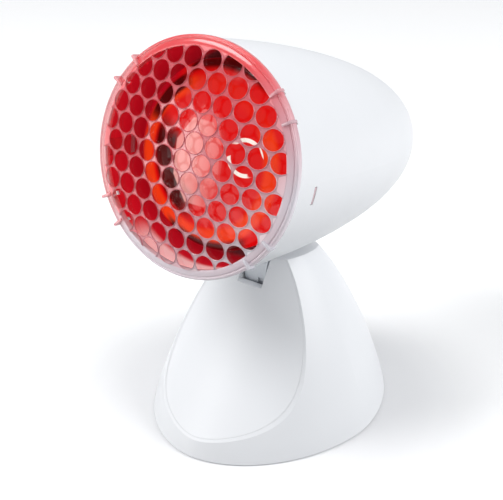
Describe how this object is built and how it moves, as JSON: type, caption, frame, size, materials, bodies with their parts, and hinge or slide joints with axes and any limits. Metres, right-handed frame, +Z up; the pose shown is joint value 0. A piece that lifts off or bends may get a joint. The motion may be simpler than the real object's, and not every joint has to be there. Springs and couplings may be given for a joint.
{
  "type": "infrared heat therapy lamp",
  "caption": "Tilting table lamp: a bullet shaped head with a red reflector bulb behind a domed honeycomb grille, on a weighted bell shaped foot with a rear rocker switch.",
  "frame": {"origin": "on the table, under the middle of the whole lamp's box at rest", "axes": "+Z up, the grille faces -Y and looks up by 14.5 degrees, +X runs across the lamp along the tilting pin"},
  "size_m": [0.1314, 0.2088, 0.2314],
  "materials": {
    "white_plastic": "satin",
    "grey_plastic": "satin",
    "clear_plastic": "clear",
    "black_plastic": "fine grain",
    "nylon": "natural",
    "rubber": "matte",
    "iron": "as cast",
    "steel": "zinc plated",
    "spring_steel": "bright",
    "brass": "bright",
    "red_glass": "ruby, smooth",
    "silvered_glass": "silvered inside",
    "clear_glass": "clear",
    "tungsten": "coiled wire",
    "aluminium": "bright rolled",
    "porcelain": "glazed"
  },
  "bodies": {
    "base": {"rear_shell": "white_plastic", "front_cover": "white_plastic", "base_plate": "grey_plastic", "rubber_feet": "rubber", "ballast_weight": "iron", "housing_screws": "steel", "ballast_screws": "steel", "terminal_block": "black_plastic", "pivot_pin": "steel", "pivot_clip": "steel", "friction_washers": "nylon", "detent_spring": "spring_steel", "detent_rivet": "steel", "switch_housing": "black_plastic", "cable_inlet": "black_plastic"},
    "head": {"head_shell": "white_plastic", "tilt_knuckle": "grey_plastic", "knuckle_screws": "steel", "grille": "clear_plastic", "bulb_lens": "red_glass", "bulb_reflector": "silvered_glass", "bulb_cap": "aluminium", "bulb_contact": "brass", "bulb_stem": "clear_glass", "filament": "tungsten", "lampholder": "porcelain", "lampholder_thread": "brass", "lampholder_contact": "brass", "lampholder_bracket": "steel", "holder_nipple": "steel", "bracket_screws": "steel", "heat_shield": "aluminium"},
    "rocker": {"switch_rocker": "black_plastic"}
  },
  "joints": [
    {"name": "head_tilt", "type": "hinge", "parent": "base", "child": "head", "pos_m": [0, -0.01755, 0.086], "axis": [1, 0, 0], "range_deg": [-15, 15], "deforming": ["detent_spring"]},
    {"name": "switch_rock", "type": "hinge", "parent": "base", "child": "rocker", "pos_m": [0, 0.04146, 0.03337], "axis": [1, 0, 0], "range_deg": [-18, 0]}
  ]
}
